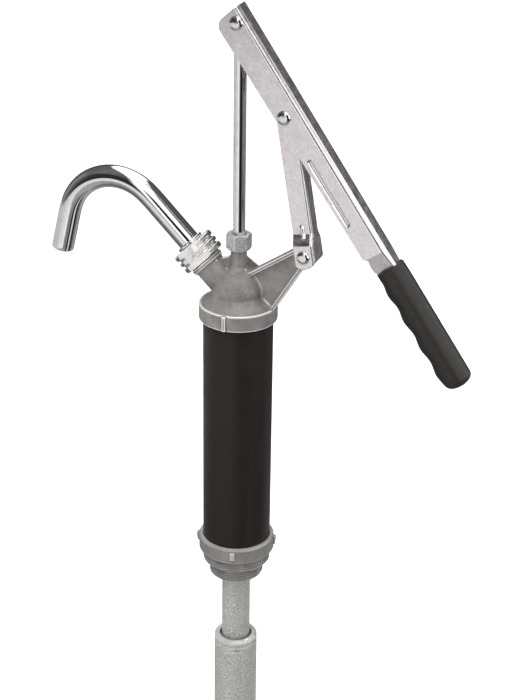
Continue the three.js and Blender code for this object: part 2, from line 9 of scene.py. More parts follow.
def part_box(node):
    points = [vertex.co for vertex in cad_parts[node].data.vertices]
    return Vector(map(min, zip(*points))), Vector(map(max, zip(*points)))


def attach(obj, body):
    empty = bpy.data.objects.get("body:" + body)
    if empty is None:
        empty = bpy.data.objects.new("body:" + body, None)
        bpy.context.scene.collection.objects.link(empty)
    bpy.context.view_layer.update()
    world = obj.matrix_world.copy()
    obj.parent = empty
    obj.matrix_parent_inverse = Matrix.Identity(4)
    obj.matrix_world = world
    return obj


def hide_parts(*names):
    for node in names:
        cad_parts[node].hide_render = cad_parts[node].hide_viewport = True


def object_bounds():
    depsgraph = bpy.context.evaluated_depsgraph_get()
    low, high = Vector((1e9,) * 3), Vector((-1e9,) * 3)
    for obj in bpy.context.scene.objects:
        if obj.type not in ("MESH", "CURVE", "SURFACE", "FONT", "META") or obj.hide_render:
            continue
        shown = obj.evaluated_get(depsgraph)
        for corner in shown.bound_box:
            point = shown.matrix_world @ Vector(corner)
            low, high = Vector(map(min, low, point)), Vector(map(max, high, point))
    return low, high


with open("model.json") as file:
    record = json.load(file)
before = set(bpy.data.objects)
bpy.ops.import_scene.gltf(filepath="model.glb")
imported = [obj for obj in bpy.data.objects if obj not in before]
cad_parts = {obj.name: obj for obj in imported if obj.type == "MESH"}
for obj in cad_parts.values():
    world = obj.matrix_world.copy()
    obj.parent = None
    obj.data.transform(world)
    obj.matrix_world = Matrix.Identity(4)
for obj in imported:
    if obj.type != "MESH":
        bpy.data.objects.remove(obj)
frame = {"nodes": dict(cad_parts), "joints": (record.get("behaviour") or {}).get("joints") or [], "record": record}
cad_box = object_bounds()

# Shapes are made in millimetres in the pump's own frame: +Z up the rod, -X to the spout, +X to the lever.
MM = 0.001
ROUND = 128
FINE = 64

JOINTS = {joint["name"]: joint for joint in frame["joints"]}
BODY_OF = {node: body for body, nodes in frame["record"]["behaviour"]["bodies"].items() for node in nodes}
ROD_PIVOT = Vector(JOINTS["handle_swing"]["pos_m"]) / MM
ARM_PIVOT = Vector(JOINTS["link_swing"]["pos_m"]) / MM
SHEET = 1.5


def box_mm(node):
    low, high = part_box(node)
    return low / MM, high / MM


# ---- frames in the swing plane: local X and Z turned about Y ----
HANDLE_TURN = math.radians(55.3)
LINK_TURN = math.radians(-9.67)
SPOUT_TURN = math.radians(-45.0)
SPOUT_FOOT = Vector((0, 0, 241.1))


def swung(origin, turn):
    return Matrix.Translation(origin) @ Matrix.Rotation(turn, 4, "Y")


HANDLE_FRAME = swung(ROD_PIVOT, HANDLE_TURN)
LINK_FRAME = swung(ARM_PIVOT, LINK_TURN)
SPOUT_FRAME = swung(SPOUT_FOOT, SPOUT_TURN)


# ---- camera, floor and light ----
CAMERA_AZIMUTH, CAMERA_ELEVATION, CAMERA_ROLL = 20.0, 25.284, 0.872
CAMERA_PLACE = (0.45755, -1.19635, 0.79822)
CAMERA_LENS = 85.81


def camera_basis(azimuth, elevation, roll):
    """The camera's right, up and back directions from its angles in degrees."""
    a, e, r = (math.radians(angle) for angle in (azimuth, elevation, roll))
    back = Vector((math.sin(a) * math.cos(e), -math.cos(a) * math.cos(e), math.sin(e)))
    right = Vector((math.cos(a), math.sin(a), 0))
    up = back.cross(right)
    return right * math.cos(r) + up * math.sin(r), up * math.cos(r) - right * math.sin(r), back


def make_camera():
    data = bpy.data.cameras.new("camera")
    data.lens = CAMERA_LENS
    data.clip_end = 50
    camera = bpy.data.objects.new("camera", data)
    right, up, back = camera_basis(CAMERA_AZIMUTH, CAMERA_ELEVATION, CAMERA_ROLL)
    turn = Matrix((right, up, back)).transposed().to_4x4()
    camera.matrix_world = Matrix.Translation(CAMERA_PLACE) @ turn
    bpy.context.scene.collection.objects.link(camera)
    bpy.context.scene.camera = camera


def make_world():
    """A white sky over a dark ground: the soft light on everything that is not shiny."""
    dark_below, white_above, strength = 0.30, 0.62, 1.75
    world = bpy.data.worlds.new("studio")
    world.use_nodes = True
    tree = world.node_tree
    background = tree.nodes["Background"]
    place = tree.nodes.new("ShaderNodeTexCoord")
    split = tree.nodes.new("ShaderNodeSeparateXYZ")
    ramp = tree.nodes.new("ShaderNodeValToRGB")
    tree.links.new(place.outputs["Generated"], split.inputs[0])
    tree.links.new(split.outputs["Z"], ramp.inputs["Fac"])
    tree.links.new(ramp.outputs["Color"], background.inputs["Color"])
    stops = ramp.color_ramp.elements
    stops[0].position = dark_below
    stops[0].color = (0.05, 0.05, 0.05, 1)
    stops[1].position = white_above
    stops[1].color = (1, 1, 1, 1)
    background.inputs["Strength"].default_value = strength
    bpy.context.scene.world = world


def make_floor():
    radius = 14.0
    bm = bmesh.new()
    bmesh.ops.create_circle(bm, cap_ends=True, segments=96, radius=radius)
    mesh = bpy.data.meshes.new("floor")
    bm.to_mesh(mesh)
    bm.free()
    floor = bpy.data.objects.new("floor", mesh)
    floor.location.z = cad_box[0][2]
    paper, _, _ = shader("floor_paper", (0.93, 0.93, 0.93), 0.0, 0.9)
    mesh.materials.append(paper)
    bpy.context.scene.collection.objects.link(floor)
    floor.visible_glossy = False


# What polished metal sees around it: (azimuth from +X, brightness) round four bands, the lowest first.
FLOOR_BAND = [
    (-180, 0.1), (-150, 0.2), (-120, 0.38), (-92, 0.38), (-60, 0.22), (-50, 0.2), (-45, 0.01), (-31, 0.01),
    (-26, 0.8), (-16, 0.8), (-10, 0.1), (20, 0.1), (60, 0.4), (130, 0.3), (180, 0.1)]
LOW_BAND = [
    (-180, 0.55), (-140, 0.6), (-118, 0.78), (-96, 0.78), (-92, 1.1), (-86, 1.1), (-82, 0.4), (-72, 0.3),
    (-69, 0.01), (-31, 0.01), (-26, 0.13), (34, 0.16), (42, 0.35), (50, 0.35), (56, 0.1), (74, 0.1),
    (110, 0.45), (180, 0.55)]
MIDDLE_BAND = [
    (-180, 0.25), (-150, 0.08), (-135, 0.03), (-99, 0.03), (-94, 1.2), (-82, 1.2), (-79, 0.0), (-57, 0.0),
    (-54, 1.3), (-20, 1.6), (44, 1.6), (51, 0.1), (66, 0.075), (150, 0.07), (180, 0.25)]
UPPER_BAND = [
    (-180, 0.12), (-140, 0.15), (-100, 0.1), (-90, 0.7), (-75, 0.7), (-60, 0.1), (0, 0.08), (180, 0.12)]
# Where each band takes over from the one below, as the sine of the elevation.
LOW_RISE, MIDDLE_RISE, UPPER_RISE = (-0.56, -0.5), (-0.17, -0.1), (0.46, 0.54)
# The strip lamp overhead, in degrees of lean from the zenith towards +X; the skew turns it off the Y axis.
LAMP_BRIGHTNESS = 1.4
LAMP_LEAN, LAMP_WIDTH, LAMP_EDGE, LAMP_SKEW = 8, 56, 2, 24
LAMP_RISE = (0.42, 0.52)
TENT_RADIUS, TENT_HEIGHT = 3.0, 0.25


def band_ramp(tree, around, stops):
    """Grey levels round the compass; around is the azimuth as 0 to 1."""
    ramp = tree.nodes.new("ShaderNodeValToRGB")
    tree.links.new(around, ramp.inputs["Fac"])
    elements = ramp.color_ramp.elements
    while len(elements) > 1:
        elements.remove(elements[-1])
    for i, (azimuth, value) in enumerate(stops):
        position = (azimuth + 180) / 360
        element = elements[0] if i == 0 else elements.new(position)
        element.position = position
        element.color = (value, value, value, 1)
    return ramp.outputs["Color"]


def math_node(tree, operation, first, second=None):
    node = tree.nodes.new("ShaderNodeMath")
    node.operation = operation
    for socket, value in zip(node.inputs, (first, second)):
        if value is None:
            continue
        if isinstance(value, (int, float)):
            socket.default_value = value
        else:
            tree.links.new(value, socket)
    return node.outputs[0]


def tent_material():
    """Emission that depends only on the direction from the tent's middle."""
    material = bpy.data.materials.new("tent_cloth")
    material.use_nodes = True
    tree = material.node_tree
    tree.nodes.remove(tree.nodes["Principled BSDF"])
    glow = tree.nodes.new("ShaderNodeEmission")
    tree.links.new(glow.outputs[0], tree.nodes["Material Output"].inputs["Surface"])
    place = tree.nodes.new("ShaderNodeTexCoord")
    level = tree.nodes.new("ShaderNodeVectorMath")
    level.operation = "NORMALIZE"
    split = tree.nodes.new("ShaderNodeSeparateXYZ")
    tree.links.new(place.outputs["Object"], level.inputs[0])
    tree.links.new(level.outputs["Vector"], split.inputs[0])
    azimuth = math_node(tree, "ARCTAN2", split.outputs["Y"], split.outputs["X"])
    around = math_node(tree, "ADD", math_node(tree, "DIVIDE", azimuth, 2 * math.pi), 0.5)
    height = split.outputs["Z"]
    color = band_ramp(tree, around, FLOOR_BAND)
    for stops, rise in ((LOW_BAND, LOW_RISE), (MIDDLE_BAND, MIDDLE_RISE), (UPPER_BAND, UPPER_RISE)):
        color = mix(tree, remap(tree, height, 0, 1, *rise), color, band_ramp(tree, around, stops))
    skew = math_node(tree, "MULTIPLY", split.outputs["Y"], math.radians(LAMP_SKEW))
    lean = math_node(tree, "ADD", math_node(tree, "ARCTAN2", split.outputs["X"], height), skew)
    off_lamp = math_node(tree, "ABSOLUTE", math_node(tree, "SUBTRACT", lean, math.radians(LAMP_LEAN)))
    lit, dark = (math.radians(LAMP_WIDTH / 2 + edge) for edge in (-LAMP_EDGE, LAMP_EDGE))
    across = remap(tree, off_lamp, 1, 0, lit, dark)
    lamp = math_node(tree, "MULTIPLY", across, remap(tree, height, 0, 1, *LAMP_RISE))
    color = mix(tree, lamp, color, (LAMP_BRIGHTNESS,) * 3)
    tree.links.new(color, glow.inputs["Color"])
    return material


def make_tent():
    """A light tent round the pump that only its reflections show: white, grey and black cloths."""
    bm = bmesh.new()
    bmesh.ops.create_icosphere(bm, subdivisions=5, radius=TENT_RADIUS)
    mesh = bpy.data.meshes.new("light_tent")
    bm.to_mesh(mesh)
    bm.free()
    tent = bpy.data.objects.new("light_tent", mesh)
    tent.location.z = TENT_HEIGHT
    mesh.materials.append(tent_material())
    tent.visible_camera = False
    tent.visible_diffuse = False
    tent.visible_shadow = False
    tent.visible_transmission = False
    bpy.context.scene.collection.objects.link(tent)


def make_key_light():
    """A big soft box in front and above; the tent gives the reflections, so it shows in none."""
    data = bpy.data.lights.new("soft_box", "AREA")
    data.shape = "SQUARE"
    data.size = 1.2
    data.energy = 50
    light = bpy.data.objects.new("soft_box", data)
    light.location = (-0.7, -1.3, 2.4)
    light.rotation_euler = (Vector((0, 0, TENT_HEIGHT)) - light.location).to_track_quat("-Z", "Y").to_euler()
    light.visible_glossy = False
    bpy.context.scene.collection.objects.link(light)


def make_studio():
    make_camera()
    make_world()
    make_key_light()
    make_floor()
    make_tent()
    bpy.context.scene.view_settings.view_transform = "Standard"


# ---- materials ----
FLAT_POINTINESS = 0.505
CAST_FLECK = (0.45, 0.43, 0.415)
# Painted highlight colours, laid on the sharp edges of the castings and the zinc in place of the light they catch.
CASTING_EDGE_HIGHLIGHT = (0.85, 0.83, 0.81)
ZINC_EDGE_HIGHLIGHT = (0.95, 0.94, 0.92)


def shader(name, color, metallic, roughness):
    material = bpy.data.materials.new(name)
    material.use_nodes = True
    tree = material.node_tree
    surface = tree.nodes["Principled BSDF"]
    surface.inputs["Base Color"].default_value = (*color, 1)
    surface.inputs["Metallic"].default_value = metallic
    surface.inputs["Roughness"].default_value = roughness
    return material, tree, surface


def noise(tree, scale, detail=3.0, stretch=(1, 1, 1)):
    """Noise in the object's own space; scale is in features per metre."""
    place = tree.nodes.new("ShaderNodeTexCoord")
    mapping = tree.nodes.new("ShaderNodeMapping")
    mapping.inputs["Scale"].default_value = stretch
    texture = tree.nodes.new("ShaderNodeTexNoise")
    texture.inputs["Scale"].default_value = scale
    texture.inputs["Detail"].default_value = detail
    tree.links.new(place.outputs["Object"], mapping.inputs["Vector"])
    tree.links.new(mapping.outputs["Vector"], texture.inputs["Vector"])
    return texture.outputs["Fac"]


def remap(tree, value, low, high, from_low=0.3, from_high=0.7):
    node = tree.nodes.new("ShaderNodeMapRange")
    node.inputs["From Min"].default_value = from_low
    node.inputs["From Max"].default_value = from_high
    node.inputs["To Min"].default_value = low
    node.inputs["To Max"].default_value = high
    tree.links.new(value, node.inputs["Value"])
    return node.outputs["Result"]


def mix(tree, factor, first, second):
    node = tree.nodes.new("ShaderNodeMix")
    node.data_type = "RGBA"
    tree.links.new(factor, node.inputs["Factor"])
    for socket, value in ((node.inputs["A"], first), (node.inputs["B"], second)):
        if isinstance(value, tuple):
            socket.default_value = (*value, 1)
        else:
            tree.links.new(value, socket)
    return node.outputs["Result"]


def bump(tree, surface, height, strength, distance):
    node = tree.nodes.new("ShaderNodeBump")
    node.inputs["Strength"].default_value = strength
    node.inputs["Distance"].default_value = distance
    tree.links.new(height, node.inputs["Height"])
    tree.links.new(node.outputs["Normal"], surface.inputs["Normal"])


def edges(tree, full):
    """0 on flat ground, 1 on outward edges at least as sharp as the full pointiness; the mask for the painted edge
    highlights.
    """
    geometry = tree.nodes.new("ShaderNodeNewGeometry")
    return remap(tree, geometry.outputs["Pointiness"], 0, 1, FLAT_POINTINESS, full)


def die_casting(name, dark, light, edge_full):
    """Dull grey cast metal, with a painted highlight on its edges."""
    material, tree, surface = shader(name, light, 0.4, 0.42)
    tone = mix(tree, remap(tree, noise(tree, 90), 0, 1), dark, light)
    speckled = mix(tree, remap(tree, noise(tree, 900, 2), 0, 0.3), tone, CAST_FLECK)
    # Painted highlight: sharp edges are lightened towards a near-white colour, standing in for the light they
    # catch.
    edge_highlighted = mix(tree, edges(tree, edge_full), speckled, CASTING_EDGE_HIGHLIGHT)
    tree.links.new(edge_highlighted, surface.inputs["Base Color"])
    tree.links.new(remap(tree, noise(tree, 260), 0.36, 0.52), surface.inputs["Roughness"])
    bump(tree, surface, noise(tree, 1100, 4), 0.35, 0.0004)
    return material


def black_enamel():
    material, tree, surface = shader("black_enamel", (0.011, 0.008, 0.007), 0.0, 0.38)
    surface.inputs["Specular IOR Level"].default_value = 0.3
    tree.links.new(remap(tree, noise(tree, 60), 0.34, 0.46), surface.inputs["Roughness"])
    bump(tree, surface, noise(tree, 500, 2), 0.06, 0.0002)
    return material


def bright_plate(name, color, low, high, stretch=(1, 1, 1)):
    """Polished or plated metal with roughness between low and high."""
    material, tree, surface = shader(name, color, 1.0, low)
    dull = tuple(channel * 0.86 for channel in color)
    tone = mix(tree, remap(tree, noise(tree, 420, 4, stretch), 0, 1), dull, color)
    tree.links.new(tone, surface.inputs["Base Color"])
    tree.links.new(remap(tree, noise(tree, 160, 3, stretch), low, high), surface.inputs["Roughness"])
    bump(tree, surface, noise(tree, 900, 3, stretch), 0.05, 0.0003)
    return material


def galvanised(name, color, metallic, low, high, grain_depth, edge_full=0.56):
    """Grainy zinc coating with roughness between low and high, and a painted highlight on its edges."""
    material, tree, surface = shader(name, color, metallic, low)
    dull = tuple(channel * 0.55 for channel in color)
    grain = mix(tree, remap(tree, noise(tree, 850, 4), 0, 1, 0.38, 0.6), dull, color)
    # Painted highlight: sharp edges are lightened towards a near-white colour, standing in for the light they
    # catch.
    edge_highlighted = mix(tree, edges(tree, edge_full), grain, ZINC_EDGE_HIGHLIGHT)
    tree.links.new(edge_highlighted, surface.inputs["Base Color"])
    tree.links.new(remap(tree, noise(tree, 300, 3), low, high), surface.inputs["Roughness"])
    bump(tree, surface, noise(tree, 1500, 4), grain_depth, 0.0003)
    return material


def moulded_vinyl():
    material, tree, surface = shader("moulded_vinyl", (0.012, 0.01, 0.009), 0.0, 0.45)
    tone = mix(tree, remap(tree, noise(tree, 700), 0, 1), (0.008, 0.007, 0.006), (0.017, 0.014, 0.013))
    tree.links.new(tone, surface.inputs["Base Color"])
    tree.links.new(remap(tree, noise(tree, 200), 0.36, 0.5), surface.inputs["Roughness"])
    bump(tree, surface, noise(tree, 1000, 4), 0.35, 0.0003)
    return material


def seal_rubber():
    material, tree, surface = shader("seal_rubber", (0.02, 0.02, 0.02), 0.0, 0.7)
    bump(tree, surface, noise(tree, 900, 3), 0.2, 0.0002)
    return material


def machined_brass():
    material, tree, surface = shader("machined_brass", (0.72, 0.52, 0.24), 1.0, 0.3)
    tree.links.new(remap(tree, noise(tree, 500, 3), 0.24, 0.4), surface.inputs["Roughness"])
    bump(tree, surface, noise(tree, 700, 3), 0.08, 0.0002)
    return material


# ---- mesh tools ----
def add_grid(bm, rows, closed_around=True, closed_along=False):
    """Quads between rows of points."""
    grid = [[bm.verts.new(point) for point in row] for row in rows]
    row_pairs = list(zip(grid, grid[1:]))
    if closed_along:
        row_pairs.append((grid[-1], grid[0]))
    for first, second in row_pairs:
        count = len(first)
        for i in range(count if closed_around else count - 1):
            j = (i + 1) % count
            bm.faces.new((first[i], first[j], second[j], second[i]))
    return grid


def close_up(bm):
    bmesh.ops.remove_doubles(bm, verts=bm.verts, dist=1e-4)
    bmesh.ops.recalc_face_normals(bm, faces=bm.faces)


def softened(points, size, steps=4, closed=False):
    """Rounds the corners of an outline."""
    result = []
    count = len(points)
    for i, corner in enumerate(points):
        corner = Vector(corner)
        if not closed and i in (0, count - 1):
            result.append(corner)
            continue
        before = Vector(points[i - 1]) - corner
        after = Vector(points[(i + 1) % count]) - corner
        reach = min(size, before.length * 0.45, after.length * 0.45)
        start = corner + before.normalized() * reach
        end = corner + after.normalized() * reach
        for k in range(steps + 1):
            t = k / steps
            result.append(start * (1 - t) ** 2 + corner * 2 * t * (1 - t) + end * t * t)
    return result


def lathe(bm, profile, segments=ROUND, soft=0.4, closed=False):
    """Turns an outline of (radius, z) about Z."""
    outline = softened(profile, soft, closed=closed) if soft else [Vector(point) for point in profile]
    turns = [2 * math.pi * i / segments for i in range(segments)]
    rows = [[(point.x * math.cos(t), point.x * math.sin(t), point.y) for t in turns] for point in outline]
    add_grid(bm, rows, closed_along=closed)


def ring_profile(inner, outer, bottom, top):
    return [(inner, bottom), (outer, bottom), (outer, top), (inner, top)]


def rod_profile(radius, bottom, top):
    return ring_profile(0, radius, bottom, top)


def prism(bm, outline, half_width):
    """A plate in the XZ plane, centred on Y."""
    rows = [[(x, y, z) for x, z in outline] for y in (-half_width, half_width)]
    front, back = add_grid(bm, rows)
    bm.faces.new(front)
    bm.faces.new(reversed(back))


def merge(bm, other):
    """Adds another mesh to this one and frees it."""
    holder = bpy.data.meshes.new("holder")
    other.to_mesh(holder)
    other.free()
    bm.from_mesh(holder)
    bpy.data.meshes.remove(holder)


def crosswise(centre):
    """Lays a turned shape along Y, at a centre."""
    return Matrix.Translation(centre) @ Matrix.Rotation(math.pi / 2, 4, "X")


def box(bm, size, centre, turn=Matrix.Identity(4)):
    scaled = Matrix.Translation(centre) @ Matrix.Diagonal((*size, 1))
    bmesh.ops.create_cube(bm, size=1.0, matrix=turn @ scaled)


def link_object(name, bm):
    close_up(bm)
    mesh = bpy.data.meshes.new(name)
    bm.to_mesh(mesh)
    bm.free()
    obj = bpy.data.objects.new(name, mesh)
    bpy.context.scene.collection.objects.link(obj)
    return obj


def bake_modifiers(obj):
    graph = bpy.context.evaluated_depsgraph_get()
    graph.update()
    result = bpy.data.meshes.new_from_object(obj.evaluated_get(graph))
    obj.modifiers.clear()
    old = obj.data
    obj.data = result
    bpy.data.meshes.remove(old)


def boolean(obj, tool, operation="DIFFERENCE"):
    modifier = obj.modifiers.new("cut", "BOOLEAN")
    modifier.operation = operation
    modifier.object = tool
    modifier.solver = "MANIFOLD"
    bake_modifiers(obj)
    bpy.data.objects.remove(tool)


def machine(obj, profile, place=Matrix.Identity(4), segments=ROUND, soft=0, operation="DIFFERENCE"):
    """Cuts away, or joins on, a turned shape."""
    tool = bmesh.new()
    lathe(tool, profile, segments, soft)
    tool.transform(place)
    boolean(obj, link_object("tool", tool), operation)


def place_piece(obj, node, material, local=Matrix.Identity(4), sharp=32.0):
    """Scales to metres, shades, gives it its material, parents it to its body's empty and hides its CAD node."""
    mesh = obj.data
    mesh.transform(Matrix.Scale(MM, 4) @ local)
    mesh.shade_smooth()
    mesh.set_sharp_from_angle(angle=math.radians(sharp))
    mesh.materials.clear()
    mesh.materials.append(material)
    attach(obj, BODY_OF[node])
    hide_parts(node)
    return obj


def bevel_sharp(bm, width, angle=50.0, segments=2):
    """Rounds every edge sharper than the angle."""
    close_up(bm)
    limit = math.radians(angle)
    sharp = [e for e in bm.edges if len(e.link_faces) == 2 and e.calc_face_angle(0) > limit]
    bmesh.ops.bevel(bm, geom=sharp, offset=width, segments=segments, profile=0.6, affect="EDGES")


# ---- barrel ----
def make_cylinder(material):
    low, high = box_mm("cylinder_tube")
    outer = high.x
    bm = bmesh.new()
    lathe(bm, ring_profile(outer - SHEET, outer, low.z, high.z), closed=True)
    place_piece(link_object("cylinder", bm), "cylinder_tube", material)


# ---- bung adapter ----
THREAD_PITCH, THREAD_DEPTH, CREST_FLAT = 2.2, 1.15, 1.35
BIG_THREAD_R, SMALL_THREAD_R = 29.8, 23.8
STRIP_TURN, STRIP_HALF_WIDTH = math.radians(-75.2), 8.0
COLLAR_R, COLLAR_TOP, SOCKET_FLOOR = 33.3, 14.0, 4.0
STEP_Z, ADAPTER_BOTTOM = -11.6, -26.0
LUG_HALF_WIDTH = 2.1
ADAPTER_TURNS = [2 * math.pi * k / 192 for k in range(192)]
SLIP = 0.3


def thread_radius(crest, z, turn, fade):
    """A helical ridge, cut flat on two opposite strips."""
    phase = (z / THREAD_PITCH + turn / (2 * math.pi)) % 1.0
    ridge = min(1.0, (1 - abs(2 * phase - 1)) * CREST_FLAT)
    radius = crest - THREAD_DEPTH * (1 - ridge * fade)
    strip = crest - THREAD_DEPTH * 0.95
    offset = abs(math.sin(turn - STRIP_TURN))
    if offset * crest < STRIP_HALF_WIDTH:
        radius = min(radius, strip / math.sqrt(1 - offset * offset) - 0.02)
    return radius


def plain_rings(outline):
    return [[(radius, z)] * len(ADAPTER_TURNS) for radius, z in outline]


def thread_rings(crest, top, end):
    """Rings down one threaded length; the thread runs out at both ends."""
    count = round((top - end) / 0.25)
    rings = []
    for i in range(count + 1):
        z = top + (end - top) * i / count
        fade = min(1.0, (top - z) / 1.6, (z - end) / 1.0 + 0.1)
        rings.append([(thread_radius(crest, z, turn, fade), z) for turn in ADAPTER_TURNS])
    return rings


def adapter_body(bm):
    socket_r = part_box("cylinder_tube")[1].x / MM + SLIP
    top = COLLAR_TOP
    collar = [(0.0, SOCKET_FLOOR), (socket_r, SOCKET_FLOOR), (socket_r, top), (COLLAR_R - 1.3, top),
              (COLLAR_R - 0.9, top - 0.15), (COLLAR_R - 0.1, top - 1.6)]
    collar += [(COLLAR_R, z) for z in (top - 2.0, top - 2.6, top - 3.2, top / 2, 1.9, 1.3, 0.7)]
    collar += [(COLLAR_R - 0.6, 0.0), (BIG_THREAD_R - 0.6, 0.0)]
    rings = plain_rings(collar)
    rings += thread_rings(BIG_THREAD_R, -0.4, STEP_Z + 0.2)
    rings += plain_rings([(BIG_THREAD_R - 1.6, STEP_Z), (SMALL_THREAD_R - 1.0, STEP_Z)])
    rings += thread_rings(SMALL_THREAD_R, STEP_Z - 0.4, ADAPTER_BOTTOM + 0.8)
    rings += plain_rings([(SMALL_THREAD_R - 1.8, ADAPTER_BOTTOM), (0.0, ADAPTER_BOTTOM)])
    add_grid(bm, [[(r * math.cos(t), r * math.sin(t), z) for (r, z), t in zip(ring, ADAPTER_TURNS)]
                  for ring in rings])


def add_lug(adapter, turn):
    """One of the wrench lugs on the collar, tapering downwards."""
    lug = bmesh.new()
    outline = [(COLLAR_R - 2, 11.8), (COLLAR_R + 2.0, 11.8), (COLLAR_R + 2.5, 10.6), (COLLAR_R + 1.6, 4.0),
               (COLLAR_R - 2, 2.6)]
    prism(lug, outline, LUG_HALF_WIDTH)
    bevel_sharp(lug, 0.35, 20, 1)
    lug.transform(Matrix.Rotation(turn, 4, "Z"))
    boolean(adapter, link_object("lug", lug), "UNION")


def make_adapter(material):
    bm = bmesh.new()
    adapter_body(bm)
    adapter = link_object("bung_adapter_casting", bm)
    for i in range(4):
        add_lug(adapter, STRIP_TURN + i * math.pi / 2)
    throat_r, throat_bottom = 8.6, -3.9
    machine(adapter, rod_profile(throat_r, throat_bottom, SOCKET_FLOOR + 2))
    pipe_r, pipe_stop = box_mm("inner_suction_tube")[1].x + SLIP, -5.5
    machine(adapter, rod_profile(pipe_r, ADAPTER_BOTTOM - 2, pipe_stop))
    place_piece(adapter, "bung_adapter", material, sharp=40)


# ---- suction tubes ----
PIPE_WALL = 1.3


def make_inner_pipe(material):
    """The fixed tube, with a fine turned line round it."""
    low, high = box_mm("inner_suction_tube")
    r, line_r, line_z = high.x, high.x - 0.14, -68.5
    profile = [(r - PIPE_WALL, low.z), (r, low.z), (r, low.z + 4),
               (r, line_z - 6), (r, line_z - 0.7), (line_r, line_z - 0.25),
               (line_r, line_z + 0.1), (r + 0.02, line_z + 0.4), (r, line_z + 6),
               (r, high.z - 4), (r, high.z), (r - PIPE_WALL, high.z)]
    bm = bmesh.new()
    lathe(bm, profile, soft=0.25, closed=True)
    place_piece(link_object("inner_suction_pipe", bm), "inner_suction_tube", material)


def outer_pipe_profile(r, low, top):
    """Up the outside, over the rolled groove and lip, and back down the bore."""
    bore, lip = r - PIPE_WALL, 14.0
    outside = [(r, low), (r, low + 9), (r, low + 14)]
    outside += [(r, top - down) for down in (26, 19, 13, 12.4, 9.4)]
    groove = [(r + 0.05, top - 8.6), (r - 0.25, top - 7.6), (r - 0.75, top - 6.4), (r - 0.55, top - 5.4),
              (r, top - 4.4)]
    rolled_lip = [(r - 0.1, top - 2.2), (r - 1.4, top - 0.5), (r - 3.2, top), (lip + 0.5, top - 0.4),
                  (lip, top - 1.4), (lip + 0.4, top - 2.0)]
    inside = [(bore - 2.0, top - 2.0), (bore - 0.6, top - 3.2), (bore - 0.4, top - 5.4),
              (bore - 0.8, top - 6.6), (bore, top - 8.6)]
    return [(bore, low)] + outside + groove + rolled_lip + inside


def make_outer_pipe(material):
    """The sliding tube, dimpled three times under its lip and notched at its foot."""
    low, high = box_mm("outer_suction_tube")
    outer = high.x
    bm = bmesh.new()
    lathe(bm, outer_pipe_profile(outer, low.z, high.z), soft=0.9, closed=True)
    pipe = link_object("outer_suction_pipe", bm)

    dimple_size, dimple_down, dimple_turn = (1.7, 5.5, 1.6), 10.0, -66
    place = Matrix.Translation((outer + 0.25, 0, high.z - dimple_down)) @ Matrix.Diagonal((*dimple_size, 1))
    for i in range(3):
        turn = Matrix.Rotation(math.radians(dimple_turn + 120 * i), 4, "Z")
        dimple = bmesh.new()
        bmesh.ops.create_uvsphere(dimple, u_segments=32, v_segments=16, radius=1.0, matrix=turn @ place)
        boolean(pipe, link_object("dimple", dimple))

    notch_width, notch_height = 8, 6
    for i in range(2):
        notch = bmesh.new()
        turn = Matrix.Rotation(i * math.pi / 2, 4, "Z")
        box(notch, (outer * 3, notch_width, notch_height * 2), (0, 0, low.z), turn)
        boolean(pipe, link_object("notch", notch))
    place_piece(pipe, "outer_suction_tube", material)


# ---- head ----
DOME_R, DOME_Z = 21.7, 248.1
RIM_R, RIM_BOTTOM, RIM_TOP = 33.2, 224.0, 238.0
NECK_R, NECK_BOTTOM, NECK_TOP = 6.8, 270.5, 291.0
SHELL_WALL = 3.4
WEB_THICK, FLANGE_HALF_WIDTH, FLANGE_THICK = 4.6, 6.0, 3.0
ARM_BOSS_R, ARM_BOSS_HALF = 7.4, 9.8
SPOUT_BORE = 9.8


def arc(centre, radius, start, end, count):
    turns = [start + (end - start) * i / count for i in range(count + 1)]
    return [(centre[0] + radius * math.cos(t), centre[1] + radius * math.sin(t)) for t in turns]


def thick_line(start, end, thickness, side):
    """A strip's outline, thickened to one side of a line."""
    along = (Vector(end) - Vector(start)).normalized()
    inward = Vector((along.y, -along.x)) * side * thickness
    return [tuple(start), tuple(end), tuple(Vector(end) + inward), tuple(Vector(start) + inward)]


def head_shell(bm):
    """Rim, flared skirt, dome and the neck that the gland nut screws on to."""
    dome = arc((0, DOME_Z), DOME_R, math.asin(-1.5 / DOME_R), math.acos((NECK_R + 1.6) / DOME_R), 18)
    rim = [(0, RIM_BOTTOM), (RIM_R - 0.5, RIM_BOTTOM), (RIM_R, RIM_BOTTOM + 0.5), (RIM_R, RIM_TOP - 0.9),
           (RIM_R - 0.5, RIM_TOP), (31.6, RIM_TOP + 0.1), (30.6, RIM_TOP - 0.5)]
    skirt = [(28.5, 239.2), (25.2, 241.6), (22.9, 244.4)]
    lathe(bm, rim + skirt + dome + [(NECK_R, NECK_BOTTOM), (NECK_R, NECK_TOP), (0, NECK_TOP)], soft=0)


def head_arm(bm):
    """A web with a flange along its top and bottom, and a boss for the link's pin."""
    x, z = ARM_PIVOT.x, ARM_PIVOT.z
    web = [(6, 254), (24, 238), (33, 237), (x - 3, z - 13), (x, z - 4), (x, z + 4), (x - 8, z + 2), (11, 266)]
    prism(bm, web, WEB_THICK / 2)
    prism(bm, thick_line((10.4, 267.2), (x - 4.5, z + 6.6), FLANGE_THICK, 1), FLANGE_HALF_WIDTH)
    prism(bm, thick_line((31.4, 234.4), (x + 2.8, z - 4.6), FLANGE_THICK, -1), FLANGE_HALF_WIDTH)
    turns = [2 * math.pi * i / 48 for i in range(48)]
    boss = [(x + ARM_BOSS_R * math.cos(t), z + ARM_BOSS_R * math.sin(t)) for t in turns]
    prism(bm, boss, ARM_BOSS_HALF)


